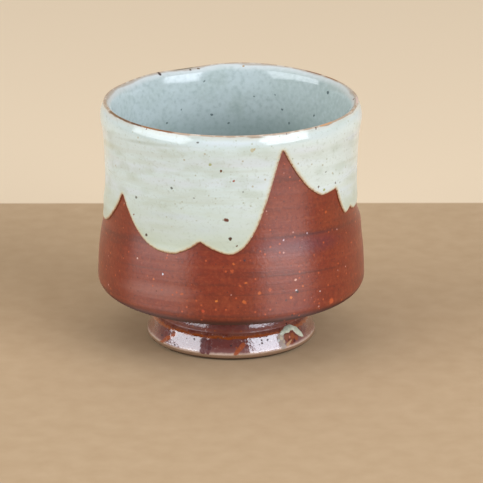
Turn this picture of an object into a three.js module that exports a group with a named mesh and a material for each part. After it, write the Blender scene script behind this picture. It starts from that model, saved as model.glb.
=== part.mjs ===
// Tea bowl: a wheel-thrown stoneware bowl on a raised foot ring, coated inside and out with glaze.
// Millimetres, +Z up. The origin is the centre of the foot on the table, and azimuth 0 faces -Y.

import * as THREE from 'three';
import { ParametricGeometry } from 'three/addons/geometries/ParametricGeometry.js';

// Rises of the bowl, each counted from the level before it
const footHeight = 12.6; // table to the seat of the bowl on its foot
const bellyRise = 10; // seat to the widest level
const waistRise = 32.4; // widest to the narrowest level
const shoulderRise = 27; // narrowest level to the swelling below the lip
const lipRise = 4.5; // swelling to the crown of the lip

// Clay radii of the bowl, outside
const bellyRadius = 47.2;
const waistRadius = 43.5;
const shoulderRadius = 44.8;
const lipRadius = 44.3;
const bellyCorner = 4.8; // round between the wall and the underside

// Clay thicknesses and the inside of the bowl
const lipThickness = 2;
const wallThickness = 3.2;
const floorThickness = 6;
const floorRound = 14; // round between the inside wall and the floor

// The dip that the potter's hand left in the lip
const lipDip = 1; // depth
const lipDipAzimuth = 203; // degrees
const lipDipSpread = 15; // degrees either side

// Foot ring
const footRadius = 30.2; // outside of the bare edge
const footBevel = 0.7; // bevel on both edges of the standing ring
const bareEdge = 1.2; // height of the unglazed edge
const skirtStep = 0.9; // step in from the bare edge to the glazed skirt
const skirtBulge = 0.5; // how far the skirt swells out from a straight cone
const ridgeRadius = 28;
const ridgeHeight = 7.4;
const neckRadius = 25.5;
const neckHeight = 10;
const standingWidth = 5.4; // flat ring that touches the table
const recessRadius = 20; // hollow under the bowl, where it meets the bowl

// Glaze coats and the gap kept between neighbouring pieces
const seatGap = 0.25;
const redGlaze = 0.4;
const paleGlaze = 0.5;
const linerGlaze = 0.4;
const footGlaze = 0.4;

// The lower edge of the poured coat: notches and lobes by turns, as azimuth in degrees
// and length down the wall from the edge of the lip
const drips = [
  [-58, 26.6], [-28, 43.2],
  [-14, 37.9], [-1, 41.8],
  [22.4, 5.5], [46, 24.8],
  [54.5, 24], [63, 34.4],
  [69.5, 33.6], [80, 35],
  [104, 21], [128, 39],
  [149, 31], [167, 38],
  [194, 12], [221, 31],
  [239, 25], [276, 41.6],
];
const lobeFullness = 2.1; // power of the curve from a lobe's tip to its notches

// The splash of pale glaze on the foot, which climbs to a crest and runs down again
const splashAzimuths = [37, 47, 60]; // degrees, at its left end, its crest and its right end
const splashLeft = 5.4; // length up the skirt at each of them
const splashCrest = 6.5;
const splashRight = 1.4;
const splashWidth = 1.4;
const splashThickness = 0.3;

// Facets
const turnSteps = 36;
const dripSteps = 90;
const wallSteps = [1, 1, 5, 5, 4, 2]; // seat, underside, belly round, to the waist, shoulder and lip
const lipSteps = [4];
const insideSteps = [2, 3, 4, 5, 1]; // to the shoulder, the waist and the round, the round, the floor
const skirtSteps = [3, 3, 1]; // skirt, cove, neck
const splashSteps = 16;
const splashSides = 8;

// Levels that follow from the rises
const bellyLevel = footHeight + bellyRise;
const waistLevel = bellyLevel + waistRise;
const shoulderLevel = waistLevel + shoulderRise;
const crownLevel = shoulderLevel + lipRise;
const lipEdgeLevel = crownLevel - lipThickness / 2;
const floorLevel = footHeight + floorThickness;

// Where each coat lies, as a distance from the clay under it
const redInside = seatGap;
const redOutside = redInside + redGlaze;
const paleInside = redOutside + seatGap;
const paleOutside = paleInside + paleGlaze;
const linerOutside = seatGap + linerGlaze;
const footGlazeOutside = seatGap + footGlaze;
const splashInside = footGlazeOutside + seatGap;

const radians = THREE.MathUtils.degToRad;

// Profiles are drawn with x as the radius and y as the height. Coats lie to the right of their run.

// Adds a curve that leaves and arrives upright, as a thrown wall does between two levels.
function uprightTo(path, radius, level) {
  const from = path.currentPoint;
  const middle = (from.y + level) / 2;
  path.bezierCurveTo(from.x, middle, radius, middle, radius, level);
}

// The flat seat ends just outside the glazed neck of the foot. From there the underside
// runs straight to the belly's round and meets it as a tangent.
function outsideWall() {
  const seatRadius = neckRadius + footGlazeOutside + seatGap;
  const roundRadius = bellyRadius - bellyCorner;
  const toRound = new THREE.Vector2(roundRadius - seatRadius, bellyLevel - footHeight);
  const slope = toRound.angle() - Math.asin(bellyCorner / toRound.length());
  const path = new THREE.Path();
  path.moveTo(0, footHeight);
  path.lineTo(seatRadius, footHeight);
  path.absarc(roundRadius, bellyLevel, bellyCorner, slope - Math.PI / 2, 0, false);
  uprightTo(path, waistRadius, waistLevel);
  uprightTo(path, shoulderRadius, shoulderLevel);
  uprightTo(path, lipRadius, lipEdgeLevel);
  return path;
}

function insideWall() {
  const path = new THREE.Path();
  path.moveTo(lipRadius - lipThickness, lipEdgeLevel);
  uprightTo(path, shoulderRadius - wallThickness, shoulderLevel);
  uprightTo(path, waistRadius - wallThickness, waistLevel);
  uprightTo(path, bellyRadius - wallThickness, floorLevel + floorRound);
  const roundRadius = bellyRadius - wallThickness - floorRound;
  path.absarc(roundRadius, floorLevel + floorRound, floorRound, 0, -Math.PI / 2, true);
  path.lineTo(0, floorLevel);
  return path;
}

function lipRound() {
  const path = new THREE.Path();
  const half = lipThickness / 2;
  path.absarc(lipRadius - half, lipEdgeLevel, half, 0, Math.PI, false);
  return path;
}

// The glazed part of the foot: a swelling skirt, the ridge above it, and a cove up to the neck.
function footSkirt() {
  const skirtRadius = footRadius - skirtStep;
  const path = new THREE.Path();
  path.moveTo(skirtRadius, bareEdge);
  path.quadraticCurveTo(
    (skirtRadius + ridgeRadius) / 2 + 2 * skirtBulge, (bareEdge + ridgeHeight) / 2,
    ridgeRadius, ridgeHeight,
  );
  path.quadraticCurveTo(neckRadius, ridgeHeight, neckRadius, neckHeight);
  path.lineTo(neckRadius, footHeight - seatGap);
  return path;
}

// Points along a path, with a number of steps for each of its curves.
function sampled(path, steps) {
  const ends = path.curves.flatMap((curve, i) => curve.getPoints(steps[i]).slice(1));
  return [path.curves[0].getPoint(0), ...ends];
}

const skirt = footSkirt();
const wallPoints = sampled(outsideWall(), wallSteps);
const insidePoints = sampled(insideWall(), insideSteps);
const skirtPoints = sampled(skirt, skirtSteps);

// Shifts a run of profile points sideways, each along the mean direction of its neighbours.
function offset(points, distance) {
  return points.map((point, i) => {
    const before = points[Math.max(i - 1, 0)];
    const after = points[Math.min(i + 1, points.length - 1)];
    const along = after.clone().sub(before).normalize();
    return new THREE.Vector2(point.x + along.y * distance, point.y - along.x * distance);
  });
}

// The closed profile of a coat between two distances from a run of points.
function coat(points, near, far) {
  return [...offset(points, far), ...offset(points, near).reverse()];
}

// A point on a profile path at a length from its start, lifted off it to the right.
function lifted(path, length, lift) {
  const share = THREE.MathUtils.clamp(length / path.getLength(), 0, 1);
  const along = path.getTangent(share);
  return path.getPoint(share).add(new THREE.Vector2(along.y, -along.x).multiplyScalar(lift));
}

// Puts a profile point at an azimuth.
function turn(point, azimuth, target) {
  return target.set(point.x * Math.sin(azimuth), -point.x * Math.cos(azimuth), point.y);
}

// Turns one profile about the axis. A profile that leaves the axis ends on it, and any other is closed.
function turned(profile) {
  const onAxis = profile[0].x === 0;
  const points = onAxis ? profile : [...profile, profile[0]];
  return new THREE.LatheGeometry(points, turnSteps).rotateX(Math.PI / 2);
}

// Sweeps a closed profile about the axis that changes with its azimuth.
function sweptRound(profileAt, steps) {
  const sides = profileAt(0).length;
  const place = (share, around, target) => {
    const azimuth = share * 2 * Math.PI;
    turn(profileAt(azimuth)[Math.round(around * sides) % sides], azimuth, target);
  };
  return new ParametricGeometry(place, steps, sides);
}

// Lowers what lies near the dip in the lip, more the higher it is.
function dipped(geometry) {
  const position = geometry.attributes.position;
  const point = new THREE.Vector3();
  for (let i = 0; i < position.count; i += 1) {
    point.fromBufferAttribute(position, i);
    const fromDip = Math.atan2(point.x, -point.y) - radians(lipDipAzimuth);
    const shortWay = THREE.MathUtils.euclideanModulo(fromDip + Math.PI, 2 * Math.PI) - Math.PI;
    const spread = shortWay / radians(lipDipSpread);
    const nearLip = THREE.MathUtils.smoothstep(point.z, waistLevel, crownLevel);
    position.setZ(i, point.z - lipDip * nearLip * Math.exp(-spread * spread));
  }
  return geometry;
}

// Length of the poured coat down the wall at an azimuth. Each lobe is a power curve that
// is level at its tip and meets the next lobe in a sharp notch.
function dripLength(azimuth) {
  const first = drips[0][0];
  const at = first + THREE.MathUtils.euclideanModulo(THREE.MathUtils.radToDeg(azimuth) - first, 360);
  const around = [...drips, [first + 360, drips[0][1]]];
  const next = around.findIndex(([edge]) => edge > at);
  const ends = [around[next - 1], around[next]];
  const [notch, lobe] = next % 2 === 1 ? ends : ends.reverse();
  const share = Math.abs((at - lobe[0]) / (notch[0] - lobe[0]));
  return lobe[1] + (notch[1] - lobe[1]) * share ** lobeFullness;
}

// The poured coat runs down the wall from the lip, facet on facet with the red coat under it,
// and so lies to the left of its run.
const bellyIndex = wallSteps[0] + wallSteps[1] + wallSteps[2];
const pouredWall = wallPoints.slice(bellyIndex).reverse();
const pouredOuter = offset(pouredWall, -paleOutside);
const pouredInner = offset(pouredWall, -paleInside);
const pouredLengths = [0];
for (let i = 1; i < pouredWall.length; i += 1) {
  pouredLengths.push(pouredLengths[i - 1] + pouredWall[i].distanceTo(pouredWall[i - 1]));
}

// Cuts a run of points short at a length down the wall: the points past the cut gather on it.
function cutShort(points, length) {
  const next = pouredLengths.findIndex((reached) => reached > length);
  const share = (length - pouredLengths[next - 1]) / (pouredLengths[next] - pouredLengths[next - 1]);
  const cut = points[next - 1].clone().lerp(points[next], share);
  return points.map((point, i) => (i < next ? point : cut));
}

// Profile of the poured coat: up its outside from a rounded lower edge, and down its inside.
function pouredProfile(azimuth) {
  const length = dripLength(azimuth);
  const nose = length - paleGlaze / 2;
  const tip = cutShort(pouredOuter, length).at(-1).clone().lerp(cutShort(pouredInner, length).at(-1), 0.5);
  return [tip, ...cutShort(pouredOuter, nose).reverse(), ...cutShort(pouredInner, nose)];
}

// The bowl's clay runs from the axis out along the seat, up the wall, over the lip and down to the floor.
function bowlBody() {
  const profile = [
    ...wallPoints,
    ...sampled(lipRound(), lipSteps).slice(1, -1),
    ...insidePoints,
  ];
  return dipped(turned(profile));
}

function footRing() {
  const standingRadius = footRadius - footBevel;
  const innerRadius = standingRadius - standingWidth;
  const profile = [
    new THREE.Vector2(innerRadius, 0),
    new THREE.Vector2(standingRadius, 0),
    new THREE.Vector2(footRadius, footBevel),
    new THREE.Vector2(footRadius, bareEdge),
    ...skirtPoints,
    new THREE.Vector2(recessRadius, footHeight - seatGap),
    new THREE.Vector2(innerRadius - footBevel, footBevel),
  ];
  return turned(profile);
}

// The red coat leaves the seat bare.
function ironRedGlaze() {
  return dipped(turned(coat(wallPoints.slice(1), redInside, redOutside)));
}

function paleGlazeOutside() {
  return dipped(sweptRound(pouredProfile, dripSteps));
}

function paleGlazeLiner() {
  const cavity = offset(insidePoints, linerOutside);
  const clay = offset(insidePoints, seatGap).reverse();
  return dipped(turned([...clay, ...cavity]));
}

// The coat stops one gap above the step of the bare edge.
function footGlazeCoat() {
  const start = skirtPoints[0];
  const lifts = skirtPoints.map((point) => Math.max(point.y, start.y + seatGap));
  const glazed = skirtPoints.map((point, i) => new THREE.Vector2(point.x, lifts[i]));
  return turned(coat(glazed, seatGap, footGlazeOutside));
}

// A flat run of glaze that follows the skirt, thickest in the middle and drawn out to a point at both ends.
function footGlazeSplash() {
  const lengths = [splashLeft, splashCrest, splashRight];
  const run = new THREE.SplineCurve(
    lengths.map((length, i) => new THREE.Vector2(radians(splashAzimuths[i]) * ridgeRadius, length)),
  );
  const place = (around, share, target) => {
    const centre = run.getPoint(share);
    const along = run.getTangent(share);
    const full = Math.sqrt(Math.sin(Math.PI * THREE.MathUtils.clamp(share, 0, 1)));
    const angle = around * 2 * Math.PI;
    const across = Math.cos(angle) * full * splashWidth / 2;
    const lift = splashInside + (1 + Math.sin(angle) * full) * splashThickness / 2;
    const length = centre.y + along.x * across;
    turn(lifted(skirt, length, lift), (centre.x - along.y * across) / ridgeRadius, target);
  };
  return new ParametricGeometry(place, splashSides, splashSteps);
}

const stoneware = { color: '#8a5a3c', roughness: 0.85 };
const ironRed = { color: '#8c4130', roughness: 0.4 };
const paleAsh = { color: '#d6ddd4', roughness: 0.15 };
const blueGreyAsh = { color: '#aab9b9', roughness: 0.15 };
const maroon = { color: '#6a3230', roughness: 0.12 };

function piece(name, geometry, finish) {
  const mesh = new THREE.Mesh(geometry, new THREE.MeshStandardMaterial({ ...finish, metalness: 0 }));
  mesh.name = name;
  return mesh;
}

const teaBowl = new THREE.Group();
teaBowl.add(
  piece('bowl_body', bowlBody(), stoneware),
  piece('foot_ring', footRing(), stoneware),
  piece('iron_red_glaze', ironRedGlaze(), ironRed),
  piece('pale_glaze_outside', paleGlazeOutside(), paleAsh),
  piece('pale_glaze_liner', paleGlazeLiner(), blueGreyAsh),
  piece('foot_glaze', footGlazeCoat(), maroon),
  piece('foot_glaze_splash', footGlazeSplash(), paleAsh),
);

export default teaBowl;
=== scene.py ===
# %% [markdown]
# # A stoneware tea bowl
# The bowl is thrown on a wheel, stands on a raised foot, and is glazed in layers: an iron-red coat all
# over the outside, a pale coat poured over it from the lip, a pale liner inside and a dark glossy coat
# on the foot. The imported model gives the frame. Each of its nodes is replaced here by a finer piece in
# the same place, because the model's facets are too coarse for a glossy curved surface. Only the foot is
# a little taller here, by 1.2 mm, so that the bowl sits about that much higher than in the model.

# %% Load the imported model
import math
from bisect import bisect_right

import bmesh
import bpy
from mathutils import Matrix, Vector, geometry, noise


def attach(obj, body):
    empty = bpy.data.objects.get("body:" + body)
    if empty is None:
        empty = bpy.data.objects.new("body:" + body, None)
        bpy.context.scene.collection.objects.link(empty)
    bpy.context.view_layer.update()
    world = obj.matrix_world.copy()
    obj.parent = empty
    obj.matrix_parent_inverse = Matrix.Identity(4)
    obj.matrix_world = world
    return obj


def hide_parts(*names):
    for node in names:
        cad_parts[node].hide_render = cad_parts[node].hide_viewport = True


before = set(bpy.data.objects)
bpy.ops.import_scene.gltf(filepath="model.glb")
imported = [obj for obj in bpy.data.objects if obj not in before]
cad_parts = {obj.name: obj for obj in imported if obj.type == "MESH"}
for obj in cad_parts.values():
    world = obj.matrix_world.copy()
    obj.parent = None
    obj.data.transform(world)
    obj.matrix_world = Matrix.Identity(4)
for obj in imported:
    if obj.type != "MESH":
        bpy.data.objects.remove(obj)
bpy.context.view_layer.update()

MM = 0.001

# %% [markdown]
# ## Tools for turned pieces
# Nearly every piece of this bowl is turned: a section goes once round the axis. The spin operator could
# do that, but it is slow for so many steps, and the poured coat ends at another height on every side.
# So a flat sheet of quads is rolled up: its columns go round the axis, its rows are the points of the
# section, and a function says where each point belongs. Azimuth 0 faces the viewer, along -Y, and
# grows towards +X. Sizes are millimetres until the piece is finished.

# %% Roll a sheet round the axis
def turned(rows, columns, place, on_axis=False, marks=None):
    """Rolls a sheet round the axis. place(azimuth, row) gives the radius and height of each point, and
    each of the marks, by name, a number that is kept on the vertex for the materials to read.
    A section that starts and ends on the axis is an open line, and any other is a closed ring."""
    marks = marks or {}
    section = rows if on_axis else rows + rows[:1]
    last = len(section) - 1
    shell = bmesh.new()
    for name in marks:
        shell.verts.layers.float.new(name)
    bmesh.ops.create_grid(shell, x_segments=columns, y_segments=last, size=1)
    for vertex in shell.verts:
        azimuth = vertex.co.x * math.pi
        row = section[round((vertex.co.y + 1) / 2 * last)]
        for name, mark in marks.items():
            vertex[shell.verts.layers.float[name]] = mark(azimuth, row)
        radius, height = place(azimuth, row)
        vertex.co = (radius * math.sin(azimuth), -radius * math.cos(azimuth), height)
    return shell


# %% Turn a shell into a finished piece
SHARP_EDGE = math.radians(50)
SEAM = 0.001


def finished(shell, name, node):
    """Closes the shell's seams, turns its faces outwards, and makes it the piece that stands for a node."""
    bmesh.ops.remove_doubles(shell, verts=shell.verts, dist=SEAM)
    bmesh.ops.recalc_face_normals(shell, faces=shell.faces)
    bmesh.ops.scale(shell, vec=(MM, MM, MM), verts=shell.verts)
    for face in shell.faces:
        face.smooth = True
    mesh = bpy.data.meshes.new(name)
    shell.to_mesh(mesh)
    shell.free()
    mesh.set_sharp_from_angle(angle=SHARP_EDGE)
    piece = bpy.data.objects.new(name, mesh)
    bpy.context.scene.collection.objects.link(piece)
    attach(piece, "root")
    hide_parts(node)
    print(name, "has", len(mesh.polygons), "faces")
    return piece


# %% [markdown]
# ## The thrown section
# A potter draws the wall up in one go, so the section is one smooth line: out from the foot, round the
# belly, in to the waist, out to the shoulder, over the lip and down to the floor. A few knots with
# smooth Bezier stretches between them hold that line, as a rib tool would. Outside, the line is the
# face of the red glaze, which the pale one was poured on. Inside, it is the bare clay.

# %% Draw a smooth line through knots, and measure along it
def smooth_line(knots, steps):
    """Points on a curve through the knots. At each knot it runs parallel to the knot's neighbours."""
    knots = [Vector(knot) for knot in knots]
    sides = zip(knots[:1] + knots, knots[1:] + knots[-1:])
    leads = [(after - before).normalized() for before, after in sides]
    line = []
    for start, end, lead, arrival in zip(knots, knots[1:], leads, leads[1:]):
        reach = (end - start).length / 3
        handles = (start + lead * reach, end - arrival * reach)
        line += geometry.interpolate_bezier(start, *handles, end, steps + 1)[:-1]
    return line + knots[-1:]


def lengths_along(line):
    """The length from the start of a line to each of its points."""
    lengths = [0.0]
    for before, after in zip(line, line[1:]):
        lengths.append(lengths[-1] + (after - before).length)
    return lengths


def length_at(line, lengths, height):
    """The length along a line to where it comes down through a height."""
    i = next(i for i, point in enumerate(line) if point.y < height)
    share = (line[i - 1].y - height) / (line[i - 1].y - line[i].y)
    return lengths[i - 1] + share * (lengths[i] - lengths[i - 1])


def lifted(line, lengths, length, lift):
    """The point at a length along a line, moved off it by lift, to the left of the way it runs."""
    last = len(line) - 1
    i = min(max(bisect_right(lengths, length), 1), last)
    share = (length - lengths[i - 1]) / (lengths[i] - lengths[i - 1])
    behind = (line[i] - line[max(i - 2, 0)]).normalized()
    ahead = (line[min(i + 1, last)] - line[i - 1]).normalized()
    along = behind.lerp(ahead, share).normalized()
    point = line[i - 1].lerp(line[i], share)
    return Vector((point.x - along.y * lift, point.y + along.x * lift))


# %% The bowl's own line, as radius and height
LIP_CROWN = (44.6, 87.7)
LIP_OUTSIDE = (45.05, 87.3)
BELLY_RADIUS = 47.85
BELLY_HEIGHT = 23.5
BELLY_CORNER = 4.9
SEAT_HEIGHT = 13.8
UNDERSIDE_START = (26.3, 14.15)
UNDERSIDE_SLOPE = math.radians(15)
CORNER_KNOTS = 5
LINE_STEPS = 6

corner_turn = math.pi / 2 - UNDERSIDE_SLOPE
belly_round = [
    (BELLY_RADIUS - BELLY_CORNER * (1 - math.cos(corner_turn * i / CORNER_KNOTS)),
     BELLY_HEIGHT - BELLY_CORNER * math.sin(corner_turn * i / CORNER_KNOTS))
    for i in range(CORNER_KNOTS + 1)
]
outside_knots = [
    LIP_CROWN, LIP_OUTSIDE, (45.17, 86.6), (45.3, 85.8), (45.51, 85), (45.73, 84.2), (45.9, 83.2),
    (45.95, 82.2), (45.83, 80.8), (45.1, 76.2), (44.55, 67.2), (44.4, 57.2), (44.95, 47.7), (46.3, 41.2),
    (47.3, 34.2), *belly_round, UNDERSIDE_START,
]
inside_knots = [
    LIP_OUTSIDE, LIP_CROWN, (43.75, 87.25), (43.25, 86.6), (42.85, 85.9), (42.5, 85.1), (42.2, 84.2),
    (41.85, 82.7), (41.55, 80.7), (41.25, 77.7), (40.95, 70.2), (40.85, 58.2), (42.1, 45.2), (43.7, 34.7),
    (39.9, 23.9), (30, 19.9), (12, 19.8), (0, 19.8),
]
outside = smooth_line(outside_knots, LINE_STEPS)
inside = smooth_line(inside_knots, LINE_STEPS)[LINE_STEPS:]
outside_lengths = lengths_along(outside)
inside_lengths = lengths_along(inside)
print("the line is", round(outside_lengths[-1]), "mm outside and", round(inside_lengths[-1]), "mm inside")

# %% [markdown]
# ## What the hand left
# No thrown bowl is a perfect lathe shape. Fingers leave soft rings, the wall bulges a little on each side,
# and a thumb pressed the lip down at the back left, which pushed it up beside the dip. The same small
# shifts go into every layer, so that the glazes stay on the clay.

# %% Soft rings, bulges of the wall and dips in the lip
RING_HEIGHT = 3.2
RING_DEPTH = 0.035
RING_WANDER = 0.5
DIP_BOTTOM = 56
# Azimuth and spread of each dip in degrees, and its depth in mm, less than nothing where the lip rises
lip_dips = [(203, 15, 0.8), (238, 18, 0.7), (168, 30, -0.8)]
# Azimuth and height of each bulge of the wall, its spread in degrees and in mm, and how far it stands out
wall_bulges = [(97, 44, 35, 3, 0.65), (-97, 51.5, 35, 3.5, 0.5)]


def smooth_step(low, high, value):
    """Rises from 0 at low to 1 at high, level at both ends."""
    share = min(max((value - low) / (high - low), 0), 1)
    return share * share * (3 - 2 * share)


def fading(away, spread):
    """1 where away is nothing, and less and less beyond the spread."""
    return math.exp(-((away / spread) ** 2))


def turn_from(degrees, azimuth):
    """The turn from an azimuth in degrees to one in radians, in degrees, the short way round."""
    return math.remainder(math.degrees(azimuth) - degrees, 360)


def thrown(azimuth, point):
    """Shifts a point of the section by the rings, the bulges and the dips."""
    around = Vector((math.sin(azimuth), math.cos(azimuth), 0)) * RING_WANDER
    around.z = point[1] / RING_HEIGHT
    ring = RING_DEPTH * noise.noise(around) * smooth_step(0, BELLY_RADIUS / 2, point[0])
    near_lip = smooth_step(DIP_BOTTOM, LIP_CROWN[1], point[1])
    dip = sum(depth * fading(turn_from(degrees, azimuth), spread) for degrees, spread, depth in lip_dips)
    bulge = sum(
        depth * fading(turn_from(degrees, azimuth), spread) * fading(point[1] - height, rise)
        for degrees, height, spread, rise, depth in wall_bulges
    )
    return point[0] + ring + bulge, point[1] - dip * near_lip


# %% [markdown]
# ## Clay bowl
# The clay shows only as the tan line on the crown of the lip, where glaze always runs thin, and under
# the bowl inside the foot. It still gets its whole section, from the seat over the lip to the floor.
# Outside it lies under the red coat, which thins out to nothing at the crown.

# %% Bowl body
TURN_COLUMNS = 256
RED_THICKNESS = 0.4
LIP_TAPER = 3.0


def red_thickness(length):
    """Thickness of the red coat at a length down from the crown."""
    return RED_THICKNESS * smooth_step(0, LIP_TAPER, length)


clay_face = [lifted(outside, outside_lengths, length, -red_thickness(length)) for length in outside_lengths]
clay_rows = [(0, SEAT_HEIGHT), *reversed(clay_face), *inside[1:]]
bowl_shell = turned(clay_rows, TURN_COLUMNS, thrown, on_axis=True)
stoneware_bowl = finished(bowl_shell, "stoneware_bowl", "bowl_body")

# %% [markdown]
# ## Iron-red coat
# The outside was coated with an iron glaze before the pale one was poured. It is a thin skin on the
# clay, so its outer face is the outside line itself and its back is sunk a little into the clay, which
# leaves no crack of light between the two.

# %% Red glaze
SINK = 0.08
RED_START = 0.8

red_lengths = [length for length in outside_lengths if length > RED_START]
red_rows = [lifted(outside, outside_lengths, length, 0) for length in red_lengths]
red_rows += [
    lifted(outside, outside_lengths, length, -red_thickness(length) - SINK)
    for length in reversed(red_lengths)
]
red_shell = turned(red_rows, TURN_COLUMNS, thrown)
iron_red_coat = finished(red_shell, "iron_red_coat", "iron_red_glaze")

# %% [markdown]
# ## Poured pale coat
# This is the look of the bowl: a thick pale glaze that ran down from the lip and stopped in lobes. A
# boolean cut would leave a hard wall there. A real run is rounded by its own surface tension and is a
# little thicker at its lower edge. So the coat is one ring whose rows slide up and down with the edge,
# and the thickness at each point follows from its distance to that edge.

# %% The lower edge: notches and lobes by turns
# Degrees of azimuth and millimetres down from the crown. A lobe also has the fullness of its left and
# its right side: 1 is a straight side, and more is a rounder one.
notches = [
    (-58, 27.4), (-14, 38.7), (22.4, 5.4), (54.8, 24.9), (68.5, 34.6), (106, 22), (149, 32), (194, 13),
    (239, 26),
]
lobes = [
    (-28, 44.1, 2.25, 1.7), (-1.3, 42.8, 1.5, 2.25), (46.5, 25.8, 1.75, 2), (63, 36, 1.4, 2),
    (77, 37, 2, 2.4), (128, 40, 2, 1.8), (167, 39, 1.9, 2.2), (221, 32, 2, 1.7), (276, 42.6, 1.8, 2.2),
]
NOTCH_ROUND = 0.7
EDGE_WAVE = 0.25
EDGE_WAVE_LENGTH = 4.0
UNROLL_RADIUS = 45.0


def sharp_drop(degrees):
    """How far down the glaze ran at an azimuth, while the notches are still sharp."""
    first = notches[0]
    at = first[0] + (degrees - first[0]) % 360
    i = bisect_right([notch[0] for notch in notches], at) - 1
    edges = [*notches, (first[0] + 360, first[1])]
    middle, lowest, left_fullness, right_fullness = lobes[i]
    notch, fullness = (edges[i], left_fullness) if at < middle else (edges[i + 1], right_fullness)
    share = abs((at - middle) / (notch[0] - middle))
    return lowest + (notch[1] - lowest) * share ** fullness


def edge_length(azimuth):
    """Length of the run down the wall, with its notches rounded and its edge a little uneven."""
    degrees = math.degrees(azimuth)
    shifts = [NOTCH_ROUND * i / 2 for i in range(-2, 3)]
    drop = sum(sharp_drop(degrees + shift) for shift in shifts) / len(shifts)
    spot = Vector((math.sin(azimuth), math.cos(azimuth), 0)) * UNROLL_RADIUS / EDGE_WAVE_LENGTH
    height = LIP_CROWN[1] - drop + EDGE_WAVE * noise.noise(spot)
    return length_at(outside, outside_lengths, height)


RUN_COLUMNS = 720
edge_lengths = [edge_length(2 * math.pi * i / RUN_COLUMNS) for i in range(RUN_COLUMNS)]
print("the pale glaze ran down", round(min(edge_lengths), 1), "to", round(max(edge_lengths), 1), "mm")

# %% Distance to the edge, and thickness of the run
NEAR_EDGE = 8.0
CLEAR_OF_EDGE = 5 * NEAR_EDGE
BEAD_WIDTH = 0.8
POUR_THICKNESS = 0.42
POUR_START = 0.6
ROLL_THICKNESS = 0.1
ROLL_WIDTH = 3.5
ROLL_RUN = (8, 40)
COLUMN_ARC = 2 * math.pi / RUN_COLUMNS * UNROLL_RADIUS


def run_column(azimuth):
    """The number of the run's column at an azimuth."""
    return round(azimuth / (2 * math.pi) * RUN_COLUMNS) % RUN_COLUMNS


def distance_to_edge(azimuth, length):
    """The shortest way to the lower edge on the unrolled wall, in mm, measured up to NEAR_EDGE."""
    column = run_column(azimuth)
    if edge_lengths[column] - length > CLEAR_OF_EDGE:
        return NEAR_EDGE
    reach = round(NEAR_EDGE / COLUMN_ARC)
    ways = [
        math.hypot(step * COLUMN_ARC, edge_lengths[(column + step) % RUN_COLUMNS] - length)
        for step in range(-reach, reach + 1)
    ]
    return min(*ways, NEAR_EDGE)


def pour_thickness(length, to_edge):
    """Nothing at the crown, full on the wall, and rolled and rounded at the lower edge."""
    bead = math.sqrt(1 - (1 - min(to_edge / BEAD_WIDTH, 1)) ** 2)
    roll = ROLL_THICKNESS * fading(to_edge, ROLL_WIDTH) * smooth_step(*ROLL_RUN, length)
    return (POUR_THICKNESS + roll) * bead * smooth_step(POUR_START, LIP_TAPER, length)


# %% Poured coat
FACE_ROWS = 60
BACK_ROWS = 14


def poured_length(azimuth, row):
    """How far down the wall a point of the run lies. A row starts with its share of the way."""
    return POUR_START + (edge_lengths[run_column(azimuth)] - POUR_START) * row[0]


def poured_edge(azimuth, row):
    """Distance of a point of the run to the lower edge."""
    return distance_to_edge(azimuth, poured_length(azimuth, row))


def poured(azimuth, row):
    """Place of a point of the run. A row ends with whether it is on the face or on the sunk back."""
    length = poured_length(azimuth, row)
    on_face = row[1] and row[0] < 1
    lift = pour_thickness(length, distance_to_edge(azimuth, length)) if on_face else -SINK
    return thrown(azimuth, lifted(outside, outside_lengths, length, lift))


pour_rows = [(smooth_step(0, FACE_ROWS, i), True) for i in range(FACE_ROWS + 1)]
pour_rows += [(smooth_step(0, BACK_ROWS, i), False) for i in range(BACK_ROWS - 1, -1, -1)]
pour_marks = {"edge_mm": poured_edge, "lip_mm": poured_length}
pour_shell = turned(pour_rows, RUN_COLUMNS, poured, marks=pour_marks)
poured_pale_coat = finished(pour_shell, "poured_pale_coat", "pale_glaze_outside")

# %% [markdown]
# ## Liner
# The inside was glazed on its own, by filling the bowl and pouring it out, so it has one even coat that
# thins only at the crown of the lip. It is a shell on the inside line, open at the top.

# %% Pale liner
LINER_THICKNESS = 0.4
LINER_START = 0.45
LINER_STEP = 0.1


def lined(azimuth, row):
    """Place of a point of the liner. A row is a length from the crown and whether it is on the face."""
    length, on_face = row
    lift = -LINER_THICKNESS * smooth_step(LINER_START, LIP_TAPER, length) if on_face else SINK
    return thrown(azimuth, lifted(inside, inside_lengths, length, lift))


deeper_lengths = [length for length in inside_lengths if length > LINER_START + LINER_STEP]
liner_lengths = [LINER_START, *deeper_lengths]
liner_rows = [(length, False) for length in reversed(liner_lengths)]
liner_rows += [(length, True) for length in liner_lengths]
liner_marks = {"lip_mm": lambda azimuth, row: row[0]}
liner_shell = turned(liner_rows, TURN_COLUMNS, lined, on_axis=True, marks=liner_marks)
pale_liner = finished(liner_shell, "pale_liner", "pale_glaze_liner")

# %% [markdown]
# ## Foot
# The foot is a thick ring with a flared skirt, a ridge and a narrow neck under the bowl. Its standing
# ring and the edge above it are wiped clean, so that it doesn't stick in the kiln. The glossy dark
# coat above that ends in a small bead. The same lines could be spun, but the coat's lower edge wanders,
# so both are rolled from a sheet like the bowl.

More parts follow.
